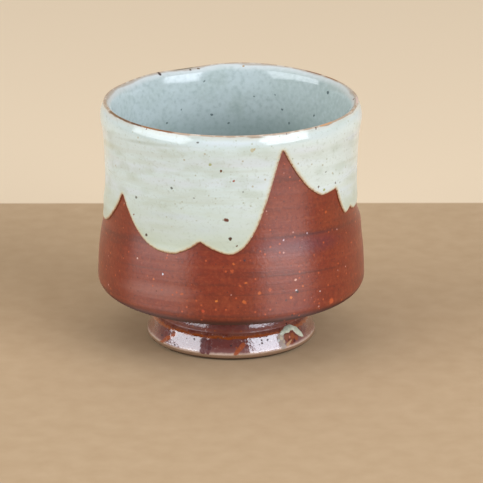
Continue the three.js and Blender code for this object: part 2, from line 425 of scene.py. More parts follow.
# %% Foot ring
FOOT_TOP = 13.55
SKIRT_START = (30.25, 1.9)
skirt_knots = [
    SKIRT_START, (29.85, 2.8), (29.15, 4.55), (28.4, 6.3), (27.85, 7.45), (27.25, 8.15), (26.45, 8.7),
    (26.2, 9.3), (26.08, 10.1), (25.75, 11.2), (25.35, 12.4), (25.05, FOOT_TOP),
]
edge_knots = [(27.7, 0), (29.1, 0.26), (29.95, 0.7), (30.4, 1.3), SKIRT_START]
recess_knots = [(20.4, FOOT_TOP), (23.2, 1.0), (23.75, 0.2), (24.2, 0)]
skirt = smooth_line(skirt_knots, LINE_STEPS)[::-1]
skirt_lengths = lengths_along(skirt)
foot_line = smooth_line(edge_knots, LINE_STEPS)[:-1] + skirt[::-1] + smooth_line(recess_knots, LINE_STEPS)
foot_shell = turned(foot_line, TURN_COLUMNS, thrown)
stoneware_foot = finished(foot_shell, "stoneware_foot", "foot_ring")

# %% Dark coat on the foot
FOOT_COLUMNS = 360
FOOT_THICKNESS = 0.4
FOOT_BEAD = 0.7
FOOT_EDGE_WAVE = 0.35
FOOT_WAVE_LENGTH = 7.0


def foot_coat_end(azimuth):
    """Length down the foot at which the coat was wiped off, which is never quite even."""
    spot = Vector((math.sin(azimuth), math.cos(azimuth), 1)) * SKIRT_START[0] / FOOT_WAVE_LENGTH
    return skirt_lengths[-1] - FOOT_EDGE_WAVE * (0.5 + 0.5 * noise.noise(spot))


def foot_coated(azimuth, row):
    """Place of a point of the coat. A row is its share of the way down and whether it is on the face."""
    share, on_face = row
    end = foot_coat_end(azimuth)
    length = end * share
    bead = math.sqrt(1 - (1 - min((end - length) / FOOT_BEAD, 1)) ** 2)
    lift = FOOT_THICKNESS * bead if on_face and share < 1 else -SINK
    return thrown(azimuth, lifted(skirt, skirt_lengths, length, lift))


FOOT_ROWS = 44
foot_coat_rows = [(smooth_step(-FOOT_ROWS, FOOT_ROWS, i) * 2 - 1, True) for i in range(FOOT_ROWS + 1)]
foot_coat_rows += [(share, False) for share, on_face in reversed(foot_coat_rows[:-1])]
foot_coat_shell = turned(foot_coat_rows, FOOT_COLUMNS, foot_coated)
dark_foot_coat = finished(foot_coat_shell, "dark_foot_coat", "foot_glaze")

# %% [markdown]
# ## Splash on the foot
# While the pale glaze was poured, a little of it fell on the foot, climbed over the ridge and ran down
# again, with a ragged edge. A ball is drawn out along that path: its poles are the two blunt ends, and
# its inner half sinks into the coat under it.

# %% Pale splash
# Degrees of azimuth, height and half the width of the run, from its left end over the crest to the right
splash_path = [(37, 6.9, 0.9), (44.1, 7.7, 1.05), (50.2, 7.9, 1.1), (54.3, 6.1, 1.2), (59.3, 3.6, 1.1)]
SPLASH_THICKNESS = 0.3
SPLASH_SIDES = 20
SPLASH_STEPS = 64
SPLASH_RADIUS = 29.0
SPLASH_RAGGED = 0.5
SPLASH_SCALLOPS = 8
SPLASH_BLUNT = 4

splash_knots = [
    (math.radians(turn) * SPLASH_RADIUS, length_at(skirt, skirt_lengths, height))
    for turn, height, half_width in splash_path
]
splash_line = smooth_line(splash_knots, LINE_STEPS)
splash_lengths = lengths_along(splash_line)
splash_widths = smooth_line([(i, path[2]) for i, path in enumerate(splash_path)], LINE_STEPS)
splash_shell = bmesh.new()
bmesh.ops.create_uvsphere(splash_shell, u_segments=SPLASH_SIDES, v_segments=SPLASH_STEPS, radius=1)
for vertex in splash_shell.verts:
    share = (1 + math.asin(max(-1, min(vertex.co.z, 1))) / (math.pi / 2)) / 2
    full = math.sqrt(1 - (2 * share - 1) ** SPLASH_BLUNT)
    side = math.atan2(vertex.co.y, vertex.co.x)
    length = splash_lengths[-1] * share
    half_width = splash_widths[bisect_right(splash_lengths, length) - 1].y
    half_width *= 1 + SPLASH_RAGGED * noise.noise((share * SPLASH_SCALLOPS, math.cos(side), 0))
    lift = SPLASH_THICKNESS * full * math.sin(side)
    spot = lifted(splash_line, splash_lengths, length, half_width * full * math.cos(side))
    radius, height = lifted(skirt, skirt_lengths, spot.y, FOOT_THICKNESS + lift)
    azimuth = spot.x / SPLASH_RADIUS
    vertex.co = (radius * math.sin(azimuth), -radius * math.cos(azimuth), height)
pale_splash = finished(splash_shell, "pale_splash", "foot_glaze_splash")

# %% [markdown]
# ## Tools for the finishes
# Every finish is a tree of shader nodes. One function adds a node and feeds its inputs, from another
# node's socket or from a plain value. Patterns read Object coordinates, which are metres here, so a
# pattern's scale is worked out from the size in millimetres that one spot of it should have. Colours
# lie over each other like coats of glaze, each through a mask that is cut out of a pattern.

# %% Node and colour helpers
def feed(node, inputs):
    """Feeds a node's inputs, by name or number, from sockets or from plain values."""
    for socket, source in inputs.items():
        if isinstance(source, bpy.types.NodeSocket):
            node.id_data.links.new(source, node.inputs[socket])
        else:
            node.inputs[socket].default_value = source


def add(material, kind, inputs=None, **settings):
    """Adds a shader node with its settings, feeds it, and gives its outputs."""
    node = material.node_tree.nodes.new("ShaderNode" + kind)
    for setting, value in settings.items():
        setattr(node, setting, value)
    feed(node, inputs or {})
    return node.outputs


def linear(code):
    """Turns an sRGB hex colour into the linear colour that shader sockets take."""
    shares = [int(code[i:i + 2], 16) / 255 for i in (1, 3, 5)]
    return (*[s / 12.92 if s <= 0.04045 else ((s + 0.055) / 1.055) ** 2.4 for s in shares], 1)


def per_metre(size):
    """Scale of a pattern whose spots are this many millimetres."""
    return 1 / (size * MM)


def new_finish(name):
    """A new material, its shader, and the Object coordinates that its patterns read."""
    material = bpy.data.materials.new(name)
    material.use_nodes = True
    coords = add(material, "TexCoord")["Object"]
    return material, material.node_tree.nodes["Principled BSDF"], coords


def dress(piece, material):
    """Gives a piece its finish."""
    piece.data.materials.append(material)
    print(piece.name, "wears", material.name, "of", len(material.node_tree.nodes), "nodes")


def layered(material, ground, masks):
    """Lays colours over a ground, and gives the socket of the result. A mask is a pattern, its value where
    the colour starts and where it is full, how much of the ground the colour covers, and the colour."""
    paint = linear(ground)
    for pattern, start, full, most, colour in masks:
        cover = add(material, "MapRange", {0: pattern, 1: start, 2: full, 3: 0, 4: most})[0]
        paint = add(material, "Mix", {0: cover, 6: paint, 7: linear(colour)}, data_type="RGBA")[2]
    return paint


def shifted(material, value, pattern, span, reach):
    """The socket of a value that a pattern shifts both ways, by up to reach at the ends of the span."""
    shift = add(material, "MapRange", {0: pattern, 1: span[0], 2: span[1], 3: -reach, 4: reach})[0]
    return add(material, "Math", {0: value, 1: shift}, operation="ADD")[0]


def place_on(line, lift, degrees, height):
    """The point at an azimuth and a height on a turned line, or lifted off it, in metres."""
    radius = (min(line, key=lambda point: abs(point.y - height)).x + lift) * MM
    azimuth = math.radians(degrees)
    return radius * math.sin(azimuth), -radius * math.cos(azimuth), height * MM


# %% Specks, placed and strewn
SHAKE_GRAIN = 0.7
SHAKE = 0.9
NOISE_MIDDLE = (0.5, 0.5, 0.5)
# Where the colour of a speck starts and where it is full, as shares of its size
SPECK_RIM = (1.2, 0.8)
STREWN_RIM = (1.7, 1)


def specks_over(material, coords, line, lift, specks):
    """Masks of single specks on a coat. The coordinates are shaken, so that no speck is quite round."""
    shake = add(material, "TexNoise", {"Vector": coords, "Scale": per_metre(SHAKE_GRAIN)})["Color"]
    centred = add(material, "VectorMath", {0: shake, 1: NOISE_MIDDLE}, operation="SUBTRACT")[0]
    shift = add(material, "VectorMath", {0: centred, "Scale": SHAKE * MM}, operation="SCALE")[0]
    shaken = add(material, "VectorMath", {0: coords, 1: shift})[0]
    masks = []
    for degrees, height, size, colour in specks:
        centre = place_on(line, lift, degrees, height)
        away = add(material, "VectorMath", {0: shaken, 1: centre}, operation="DISTANCE")["Value"]
        start, full = [size * rim * MM for rim in SPECK_RIM]
        masks.append((away, start, full, 1, colour))
    return masks


def scattered(material, coords, chances):
    """Masks of specks strewn at random, one kind for each size of cell in mm, share of the cell that the
    speck takes, share of the cells that stay empty, and colour."""
    masks = []
    for cell, share, empty, colour in chances:
        cells = add(material, "TexVoronoi", {"Vector": coords, "Scale": per_metre(cell)})
        chance = add(material, "SeparateColor", {0: cells["Color"]})[0]
        chosen = add(material, "Math", {0: chance, 1: empty}, operation="GREATER_THAN")[0]
        shown = add(material, "Math", {0: cells["Distance"], 1: chosen}, operation="SUBTRACT")[0]
        start, full = [share * rim - 1 for rim in STREWN_RIM]
        masks.append((shown, start, full, 1, colour))
    return masks


def joined(material, masks):
    """The socket of one pattern that is 1 wherever one of the masks is full."""
    whole = 0
    for mask in masks:
        pattern, start, full = mask[:3]
        shape = add(material, "MapRange", {0: pattern, 1: start, 2: full})[0]
        whole = add(material, "Math", {0: shape, 1: whole}, operation="MAXIMUM")[0]
    return whole


# %% [markdown]
# The rings and streaks of a glazed wall are never quite level. Here they lie a little lower at the back
# than in front, so their patterns read coordinates that are tipped about the X axis.

# %% Streaks round the wall
TIP = math.radians(7.5)
# Where the colour of a streak starts and where it is full, as shares of its size
STREAK_RIM = (1.6, 0.75)


def tipped(material, coords):
    """The coordinates, tipped."""
    turn = {"Vector": coords, "Angle": TIP}
    return add(material, "VectorRotate", turn, rotation_type="X_AXIS")[0]


def streaks_over(material, coords, ragged, streaks):
    """Masks of long streaks, frayed by a pattern. A streak has the azimuth and height of its middle, half
    its length in degrees, half its width in mm, how much it covers, and its colour."""
    place = add(material, "SeparateXYZ", {0: tipped(material, coords)})
    front = add(material, "Math", {0: place["Y"], 1: -1}, operation="MULTIPLY")[0]
    turn = add(material, "Math", {0: place["X"], 1: front}, operation="ARCTAN2")[0]
    unrolled = add(material, "CombineXYZ", {0: turn, 1: place["Z"]})[0]
    masks = []
    for degrees, height, length, width, most, colour in streaks:
        size = Vector((math.radians(length), width * MM, 1))
        level = (Matrix.Rotation(TIP, 3, "X") @ Vector(place_on(outside, 0, degrees, height))).z
        middle = (math.radians(degrees) / size.x, level / size.y, 0)
        scaled = add(material, "VectorMath", {0: unrolled, 1: size}, operation="DIVIDE")[0]
        away = add(material, "VectorMath", {0: scaled, 1: middle}, operation="DISTANCE")["Value"]
        frayed = add(material, "Math", {0: away, 1: ragged}, operation="ADD")[0]
        masks.append((frayed, *STREAK_RIM, most, colour))
    return masks


# %% [markdown]
# ## Pale ash glaze
# A feldspar and ash glaze, poured and fired to a glossy, slightly milky glass. It is greenish white and
# warmer on the right, with milky bands where it is thicker and with clouds drawn out round the wall. It is
# cream and duller low on the wall, and tan where it thins out at its lower edge and at the lip. Iron from
# the clay breaks through it as a few dark specks.

# %% Iron specks in the pale glaze: azimuth, height, half width in mm, colour
iron_specks = [
    (-4.4, 75.3, 0.42, "#6b4028"), (-2.6, 57.5, 0.62, "#7a4a3a"), (-1.9, 57.4, 0.6, "#6a3a2c"),
    (-0.5, 50.7, 0.6, "#4a2a18"), (-40.6, 48.5, 0.55, "#4c3322"), (1.2, 71.7, 0.36, "#a05a48"),
    (-27.1, 67.5, 0.5, "#747c74"), (-47.5, 61, 0.5, "#70756b"), (-14.3, 85.2, 0.4, "#7d7f7a"),
    (42.3, 65.7, 0.4, "#7d7166"), (53.9, 64.9, 0.4, "#75685c"), (-48.8, 54.5, 0.36, "#8a5a40"),
    (-16.5, 64.9, 0.32, "#8f968e"), (5.2, 67.6, 0.34, "#959b92"), (-9.1, 77.6, 0.5, "#b0b684"),
    (8.9, 82.9, 0.6, "#c5bf9f"), (9.9, 83.2, 0.4, "#bfb391"), (2.5, 48.2, 0.34, "#6a4a34"),
    (46.7, 70.4, 0.34, "#9aa097"), (45.9, 63.9, 0.45, "#a9ae74"), (-77.2, 52.2, 0.36, "#7a5c46"),
]

# %% Dark spots on the lip, the same in all its coats: azimuth, half width in mm, colour
LIP_SPOT_HEIGHT = 87.2


def on_lip(spots):
    """Specks at the height of the lip."""
    return [(degrees, LIP_SPOT_HEIGHT, size, colour) for degrees, size, colour in spots]


lip_spots = on_lip([
    (24.8, 0.42, "#6a4434"), (40.5, 0.45, "#5a382c"), (92, 0.5, "#5a2a24"), (-143.5, 0.95, "#3a2018"),
    (-160, 0.7, "#5a4632"), (-164, 0.6, "#6a5238"), (174, 0.5, "#b08a54"), (-40, 0.5, "#8a4c24"),
])

# %% Milky and olive streaks, and a line of painted shade: azimuth, height, half length in degrees, half width in mm, cover, colour
pale_streaks_and_painted_shade = [
    # The first streak, dark under the left highlight of the lip, is painted shade.
    (-30, 82.9, 18, 0.8, 0.5, "#b4bcae"), (-2, 85.2, 14, 1.2, 0.5, "#e2e9ee"),
    (-34, 75.2, 18, 1.2, 0.25, "#c6cdb6"), (0, 77.2, 18, 1, 0.5, "#e2eaec"),
    (-3, 75, 20, 0.7, 0.3, "#c5ccb8"), (-20, 69.7, 20, 2, 0.6, "#dfe8ec"),
    (-23, 62.7, 24, 0.7, 0.25, "#c2c9b0"), (-24, 57.5, 14, 1.4, 0.6, "#d3dedd"),
    (-10, 53.4, 9, 2, 0.6, "#d0dad6"), (60, 71, 16, 0.9, 0.4, "#c8cdb9"),
    (29, 81, 9, 1.5, 0.5, "#e6edf0"), (-64, 76.2, 18, 1.5, 0.5, "#c3c9ae"),
    (-56, 72.7, 14, 1.2, 0.5, "#dde5e2"), (-28, 52.9, 12, 1.4, 0.35, "#bcc3a4"),
]

# %% Strewn specks in the pale glaze: cell in mm, share of it, share of empty cells, colour
pale_chances = [(2.4, 0.1, 0.7, "#bec5b3"), (4, 0.07, 0.75, "#c2c1ac")]


# %% Greenish white, poured
def pale_ash_glaze():
    material, shader, coords = new_finish("poured_pale_ash_glaze")
    around = tipped(material, coords)
    level = add(material, "Mapping", {"Vector": around, "Scale": (0.15, 0.15, 1)})[0]
    bands = add(material, "TexNoise", {"Vector": level, "Scale": per_metre(5), "Detail": 5})[0]
    drawn = add(material, "Mapping", {"Vector": around, "Scale": (0.4, 0.4, 1)})[0]
    clouds = add(material, "TexNoise", {"Vector": drawn, "Scale": per_metre(4), "Detail": 4})[0]
    grain = add(material, "TexNoise", {"Vector": coords, "Scale": per_metre(1), "Detail": 3})[0]
    from_edge = add(material, "Attribute", attribute_name="edge_mm")["Fac"]
    from_lip = add(material, "Attribute", attribute_name="lip_mm")["Fac"]
    place = add(material, "SeparateXYZ", {0: coords})
    edge = shifted(material, from_edge, grain, (0.3, 0.7), 0.2)
    lip = shifted(material, from_lip, clouds, (0.35, 0.65), 0.5)
    low = shifted(material, place["Z"], bands, (0.3, 0.7), 4 * MM)
    masks = [
        (place["X"], -5 * MM, 25 * MM, 0.4, "#e4e6d6"),
        (bands, 0.49, 0.62, 0.6, "#e0eaee"), (bands, 0.48, 0.36, 0.4, "#d4ded5"),
        (clouds, 0.5, 0.68, 0.5, "#c4d0bf"), (low, 67 * MM, 45 * MM, 0.85, "#c2c8ae"),
        (lip, 7, 3, 0.45, "#c9d0ca"), *streaks_over(material, coords, clouds, pale_streaks_and_painted_shade),
        (grain, 0.56, 0.75, 0.45, "#b3baa7"), (edge, 1.8, 0.7, 0.6, "#dad6b6"),
        (edge, 0.9, 0.35, 0.8, "#bb8a60"), (edge, 0.4, 0.1, 0.85, "#8a4a2b"),
        (lip, 2.2, 0.7, 0.5, "#dcd6c6"), (lip, 0.8, 0.45, 0.8, "#a38a72"),
        *scattered(material, coords, pale_chances),
    ]
    masks += specks_over(material, coords, outside, POUR_THICKNESS, iron_specks + lip_spots)
    ripple = add(material, "TexNoise", {"Vector": level, "Scale": per_metre(4), "Detail": 2})[0]
    bump = add(material, "Bump", {"Height": ripple, "Strength": 0.15, "Distance": 0.3 * MM})[0]
    gloss = add(material, "MapRange", {0: place["Z"], 1: 75 * MM, 2: 61 * MM, 3: 0.1, 4: 0.35})[0]
    feed(shader, {"Base Color": layered(material, "#deedea", masks), "Roughness": gloss,
                  "Normal": bump, "IOR": 1.6, "Specular IOR Level": 0.5})
    return material


dress(poured_pale_coat, pale_ash_glaze())

# %% [markdown]
# ## Liner glaze
# The same kind of ash glaze inside, where it lies in one even coat and cooled more slowly, which leaves
# it bluer and greyer. Painted shade makes it a little greener and darker on the right and darker deeper
# down. It is paler on the round of the lip, where it ran thin. It has a few small grey specks.

# %% Grey specks in the liner: azimuth, height, half width in mm, colour
liner_specks = [
    (-153.4, 72.8, 0.4, "#7d8a89"), (-169.9, 69.8, 0.5, "#6f7c7b"), (-178.6, 66.4, 0.45, "#74817f"),
    (-144.6, 68.7, 0.45, "#74817f"), (168, 76.8, 0.35, "#84908d"), (152.5, 72.9, 0.4, "#74817f"),
    (132.1, 73.3, 0.45, "#6f7b78"), (148.4, 68.2, 0.4, "#74817f"), (122.8, 83.3, 0.65, "#5f6b69"),
    (-166.3, 82.5, 0.36, "#84908d"), (156.9, 78.1, 0.32, "#84908d"),
]


# %% Blue-grey liner
def blue_grey_liner():
    material, shader, coords = new_finish("blue_grey_liner_glaze")
    clouds = add(material, "TexNoise", {"Vector": coords, "Scale": per_metre(14), "Detail": 4})[0]
    mottle = add(material, "TexNoise", {"Vector": coords, "Scale": per_metre(1.6), "Detail": 5})[0]
    from_lip = add(material, "Attribute", attribute_name="lip_mm")["Fac"]
    lip = shifted(material, from_lip, clouds, (0.35, 0.65), 0.5)
    place = add(material, "SeparateXYZ", {0: coords})
    masks = [
        # Painted shade: the mask by X darkens the right of the inside, and the mask by height darkens it
        # deeper down.
        (place["X"], 5 * MM, 40 * MM, 0.55, "#aab4a9"),
        (clouds, 0.45, 0.65, 0.8, "#b7c2bb"), (mottle, 0.5, 0.72, 0.55, "#a3b1ac"),
        (mottle, 0.48, 0.28, 0.45, "#ced8d7"), (place["Z"], 73 * MM, 65 * MM, 0.45, "#90a19d"),
        (lip, 3.4, 1.4, 0.7, "#d8d8d4"), (lip, 1.4, 0.7, 0.75, "#ad9984"),
    ]
    masks += specks_over(material, coords, inside, -LINER_THICKNESS, liner_specks + lip_spots)
    bump = add(material, "Bump", {"Height": mottle, "Strength": 0.1, "Distance": 0.2 * MM})[0]
    feed(shader, {"Base Color": layered(material, "#c5cfcc", masks), "Roughness": 0.12,
                  "Normal": bump, "IOR": 1.6, "Specular IOR Level": 0.55})
    return material


dress(pale_liner, blue_grey_liner())

# %% [markdown]
# ## Iron-red glaze
# A satin glaze full of iron, brick red on the wall, and matte where it ends above the foot, where painted
# shade darkens it nearly to black. It keeps the fine rings of the throwing, and these spread a reflection up
# and down but hardly sideways.
# Bubbles that broke in the kiln left orange, pink and dark specks. At the waist a purplish band under a
# dark line runs round the right side, and a few finer dark lines follow the throwing below it. A lighter
# pinkish streak low on the left is a painted sheen.

# %% Burst bubbles in the red glaze: azimuth, height, half width in mm, colour
burst_bubbles = [
    (1, 41.9, 0.5, "#c4602c"), (0.3, 39.5, 0.6, "#b4502a"), (6.2, 35.3, 0.5, "#c4602c"),
    (3.7, 34.3, 0.5, "#b4502a"), (11.9, 31.4, 0.6, "#c4602c"), (16.4, 32.2, 0.6, "#b4502a"),
    (5.3, 28.5, 0.6, "#c4602c"), (31.7, 31.8, 0.4, "#c4602c"), (25.8, 28.4, 0.45, "#d9773c"),
    (47.2, 23.3, 1.1, "#bf552c"), (-34.8, 33.9, 0.45, "#c4602c"), (-6.2, 28.8, 0.5, "#cf7432"),
    (-21.1, 30.3, 0.5, "#b85428"), (47.9, 55.4, 0.5, "#b85428"), (-11.8, 24.9, 0.5, "#c04a2a"),
    (-30.3, 36.3, 0.34, "#dde2ee"), (-44.6, 39.5, 0.3, "#d9b9ae"), (23.8, 48.9, 0.34, "#d9c0c8"),
    (36, 49.8, 0.26, "#d9c0c8"), (29, 30.4, 0.5, "#5a2a24"), (40.6, 28.4, 0.34, "#c9a8a0"),
    (28.9, 30.2, 0.55, "#2e1c1c"), (28.3, 30.7, 0.3, "#d8cfd2"), (28.2, 34.5, 0.4, "#d6a18c"),
    (5.8, 43.1, 0.4, "#4b3038"), (26.6, 21.8, 0.45, "#33262c"), (23.5, 27.8, 0.45, "#4a2622"),
]

# %% Streaks round the wall, one a painted sheen: azimuth, height, half length in degrees, half width in mm, cover, colour
red_streaks_and_painted_sheen = [
    (29, 46.4, 24, 4.2, 0.65, "#6c333e"), (31, 49.6, 32, 0.8, 0.75, "#54242a"),
    # The lighter pinkish streak low on the left, at -32 degrees and 30 mm, is a painted sheen.
    (-32, 30, 20, 3, 0.42, "#ab7468"), (30, 36.5, 34, 0.6, 0.5, "#56241d"),
    (20, 30.5, 40, 0.4, 0.4, "#56241d"), (-35, 37.5, 24, 0.4, 0.4, "#56241d"),
    (57, 47, 14, 7, 0.45, "#6c2410"),
]

# %% Strewn specks in the red glaze: cell in mm, share of it, share of empty cells, colour
red_chances = [(1.7, 0.16, 0.85, "#b9532c"), (1.3, 0.14, 0.84, "#5c2520"), (3.1, 0.08, 0.84, "#c98e80")]


# %% Brick red with specks
def iron_red_glaze():
    material, shader, coords = new_finish("iron_red_satin_glaze")
    around = tipped(material, coords)
    level = add(material, "Mapping", {"Vector": around, "Scale": (0.04, 0.04, 1)})[0]
    patches = add(material, "TexNoise", {"Vector": coords, "Scale": per_metre(16), "Detail": 5})[0]
    grain = add(material, "TexNoise", {"Vector": coords, "Scale": per_metre(1.1), "Detail": 3})[0]
    mottle = add(material, "TexNoise", {"Vector": coords, "Scale": per_metre(3.5), "Detail": 3})[0]
    rings = add(material, "TexNoise", {"Vector": level, "Scale": per_metre(2.6), "Detail": 3})[0]
    height = add(material, "SeparateXYZ", {0: coords})["Z"]
    masks = [
        (patches, 0.45, 0.7, 0.6, "#8f4020"), (mottle, 0.52, 0.68, 0.5, "#722919"),
        (mottle, 0.46, 0.32, 0.4, "#923f25"), (rings, 0.54, 0.68, 0.75, "#66261a"),
        (rings, 0.44, 0.3, 0.45, "#964427"), (grain, 0.54, 0.72, 0.7, "#68261a"),
        # Painted shade: the mask by height darkens the red nearly to black low on the belly, where it turns
        # under.
        (grain, 0.46, 0.28, 0.6, "#9d482b"), (height, 22.4 * MM, 20.4 * MM, 0.95, "#43150a"),
    ]
    masks += streaks_over(material, coords, rings, red_streaks_and_painted_sheen)
    masks += scattered(material, coords, red_chances)
    masks += specks_over(material, coords, outside, 0, burst_bubbles)
    rough = add(material, "Math", {0: rings, 1: 2.5, 2: grain}, operation="MULTIPLY_ADD")[0]
    bump = add(material, "Bump", {"Height": rough, "Strength": 0.4, "Distance": 0.15 * MM})[0]
    tangent = add(material, "Tangent", direction_type="RADIAL", axis="Z")[0]
    satin = add(material, "MapRange", {0: height, 1: 20 * MM, 2: 22 * MM, 3: 0.9, 4: 0.4})[0]
    feed(shader, {"Base Color": layered(material, "#822d19", masks), "Roughness": satin,
                  "Normal": bump, "IOR": 1.65, "Specular IOR Level": 0.8,
                  "Specular Tint": linear("#ffeae0"), "Anisotropic": 0.9,
                  "Anisotropic Rotation": 0.25, "Tangent": tangent})
    return material


dress(iron_red_coat, iron_red_glaze())

# %% [markdown]
# ## Dark foot glaze
# The foot carries the iron glaze alone and thick, melted to a glossy maroon glass on the skirt. Just above
# the ridge it thins to a dull tan, and on the neck under the bowl it is brick red and shines again. It
# breaks to orange on the ridge and in a few runs, pales to cream at its lower edge, and is strewn with
# pink and orange flecks. Small open pits, and spots where it grew crystals as it cooled, aren't glossy.

# %% Runs on the foot: azimuth and height of the top and of the end of each, half width in mm, colour
glaze_runs = [
    ((-43.8, 6.5), (-56.5, 1.9), 0.6, "#b0521f"), ((8.3, 5.6), (3, 2.6), 0.6, "#b0521f"),
    ((46.3, 4.3), (41.5, 3.1), 0.3, "#cf9f72"),
]
# Where the colour of a run starts and where it is full, as shares of its half width
RUN_RIM = (1.4, 0.7)
RUN_COVER = 0.9
# How the edges of the runs and of the colours round the foot fray: the span of the pattern, and the reach
FOOT_FRAY = ((0.3, 0.7), 0.4 * MM)


def runs_over(material, coords, patches):
    """Masks of the straight runs, frayed by a pattern: the way from each point to the nearest of the run."""
    masks = []
    for top, end, half_width, colour in glaze_runs:
        start, stop = [Vector(place_on(skirt, FOOT_THICKNESS, *spot)) for spot in (top, end)]
        way = (stop - start).normalized()
        offset = add(material, "VectorMath", {0: coords, 1: start}, operation="SUBTRACT")[0]
        along = add(material, "VectorMath", {0: offset, 1: way}, operation="DOT_PRODUCT")["Value"]
        held = add(material, "Clamp", {0: along, 1: 0, 2: (stop - start).length})[0]
        nearest = add(material, "VectorMath", {0: way, "Scale": held}, operation="SCALE")[0]
        away = add(material, "VectorMath", {0: offset, 1: nearest}, operation="DISTANCE")["Value"]
        frayed = shifted(material, away, patches, *FOOT_FRAY)
        begins, full = [half_width * rim * MM for rim in RUN_RIM]
        masks.append((frayed, begins, full, RUN_COVER, colour))
    return masks


# %% Orange and cream spots under the splash: azimuth, height, half width in mm, colour
splash_spots = [
    (46, 4.9, 2.2, "#8e4526"), (42.6, 5.6, 1.1, "#98563a"), (48.5, 5.5, 1, "#a8582a"),
    (51.5, 4.3, 0.9, "#a04e24"), (48.8, 3.7, 0.7, "#5e221a"), (44, 4.6, 0.5, "#6a2c20"),
    (37.8, 5.8, 0.7, "#cdbfa4"), (35.2, 5.3, 0.5, "#a9a493"), (39.5, 4.6, 0.6, "#bfa78a"),
    (45.4, 5.4, 0.4, "#d98a72"),
]

# %% Spots where the foot glaze is dull: azimuth, height, half width in mm, colour
dull_spots = [
    (-46, 6.4, 1.1, "#8a4a34"), (-49.5, 4.6, 1.1, "#8a4a34"), (-53, 5.5, 1.3, "#7a443c"),
    (-19.5, 6.4, 1.4, "#63322f"), (-15.8, 6.1, 1.1, "#6a302a"), (-19, 4.7, 1.5, "#6a302a"),
    (-15.3, 4.3, 1, "#63322f"), (-19.5, 3.1, 1.3, "#744240"), (-16, 2.9, 0.9, "#744240"),
    (37.5, 6.2, 1.4, "#b3a294"), (37.5, 4.4, 1.4, "#a8958a"), (38, 2.9, 1.1, "#b3a294"),
]

# %% Strewn flecks and pits on the foot: cell in mm, share of it, share of empty cells, colour
foot_chances = [(1.3, 0.15, 0.8, "#b98f84"), (1.9, 0.13, 0.82, "#a9521f")]
PIT_COLOUR = "#2f1715"
pit_chances = [(2.2, 0.14, 0.75, PIT_COLOUR)]
# Azimuth, height and half width in mm of the pits in front
front_pits = [(22.1, 6.5, 0.4), (26.5, 6.3, 0.35), (19.9, 5.1, 0.26), (-27.2, 6.5, 0.4), (-33.1, 6.2, 0.25)]


# %% Maroon glass with an orange ridge
RIDGE_HEIGHT = 7.8


def maroon_foot_glaze():
    material, shader, coords = new_finish("maroon_foot_glaze")
    patches = add(material, "TexNoise", {"Vector": coords, "Scale": per_metre(4), "Detail": 4})[0]
    grain = add(material, "TexNoise", {"Vector": coords, "Scale": per_metre(0.9), "Detail": 3})[0]
    height = add(material, "SeparateXYZ", {0: coords})["Z"]
    shaken = shifted(material, height, patches, *FOOT_FRAY)
    off_ridge = add(material, "Math", {0: shaken, 1: RIDGE_HEIGHT * MM}, operation="SUBTRACT")[0]
    ridge = add(material, "Math", {0: off_ridge}, operation="ABSOLUTE")[0]
    placed_pits = [(*pit, PIT_COLOUR) for pit in front_pits]
    holes = scattered(material, coords, pit_chances)
    holes += specks_over(material, coords, skirt, FOOT_THICKNESS, placed_pits)
    pits = joined(material, holes)
    dull = specks_over(material, coords, skirt, FOOT_THICKNESS, dull_spots)
    matte = joined(material, holes + dull)
    masks = [
        (shaken, 9.8 * MM, 8.8 * MM, 0.6, "#a5705c"), (shaken, 8.1 * MM, 7.7 * MM, 1, "#74332a"),
        (patches, 0.45, 0.7, 0.8, "#7a3327"), (grain, 0.56, 0.75, 0.5, "#8f5a4a"),
        (shaken, 5 * MM, 2.9 * MM, 0.5, "#a4766f"), (ridge, 0.6 * MM, 0.25 * MM, 0.75, "#b2591f"),
        (shaken, 3.2 * MM, 2.4 * MM, 0.9, "#e0c3b0"),
        *scattered(material, coords, foot_chances), (pits, 0, 1, 0.85, PIT_COLOUR),
    ]
    masks += dull + specks_over(material, coords, skirt, FOOT_THICKNESS, splash_spots)
    masks += runs_over(material, coords, patches)
    wave = add(material, "TexNoise", {"Vector": coords, "Scale": per_metre(1.5), "Detail": 3})[0]
    bump = add(material, "Bump", {"Height": wave, "Strength": 0.5, "Distance": 0.25 * MM})[0]
    skirt_glass = add(material, "MapRange", {0: shaken, 1: 8.05 * MM, 2: 7.35 * MM})[0]
    neck_glass = add(material, "MapRange", {0: shaken, 1: 9.7 * MM, 2: 10.5 * MM, 3: 0.1, 4: 0.8})[0]
    glaze = add(material, "Math", {0: skirt_glass, 1: neck_glass}, operation="MAXIMUM")[0]
    open_glass = add(material, "MapRange", {0: matte, 3: 1, 4: 0.1})[0]
    glass = add(material, "Math", {0: glaze, 1: open_glass}, operation="MULTIPLY")[0]
    satin = add(material, "MapRange", {0: grain, 1: 0.45, 2: 0.75, 3: 0.06, 4: 0.35})[0]
    dull_neck = add(material, "MapRange", {0: height, 1: 7.5 * MM, 2: 9 * MM, 3: 0, 4: 0.25})[0]
    duller = add(material, "Math", {0: satin, 1: dull_neck}, operation="ADD")[0]
    gloss = add(material, "Math", {0: duller, 1: matte}, operation="MAXIMUM")[0]
    feed(shader, {"Base Color": layered(material, "#8c3a2b", masks), "Roughness": gloss, "Normal": bump,
                  "IOR": 1.6, "Coat Weight": glass, "Coat IOR": 1.75, "Coat Roughness": 0.09,
                  "Coat Normal": bump})
    return material


dress(dark_foot_coat, maroon_foot_glaze())

# %% [markdown]
# ## Splash glaze
# The same pale glaze as on the wall, in a small drop over the dark coat.

# %% Cream drop
def splash_glaze():
    material, shader, coords = new_finish("pale_splash_glaze")
    mottle = add(material, "TexNoise", {"Vector": coords, "Scale": per_metre(1.5), "Detail": 2})[0]
    masks = [(mottle, 0.4, 0.7, 1, "#bcc2aa")]
    feed(shader, {"Base Color": layered(material, "#dfe0c8", masks), "Roughness": 0.3, "IOR": 1.6})
    return material


dress(pale_splash, splash_glaze())
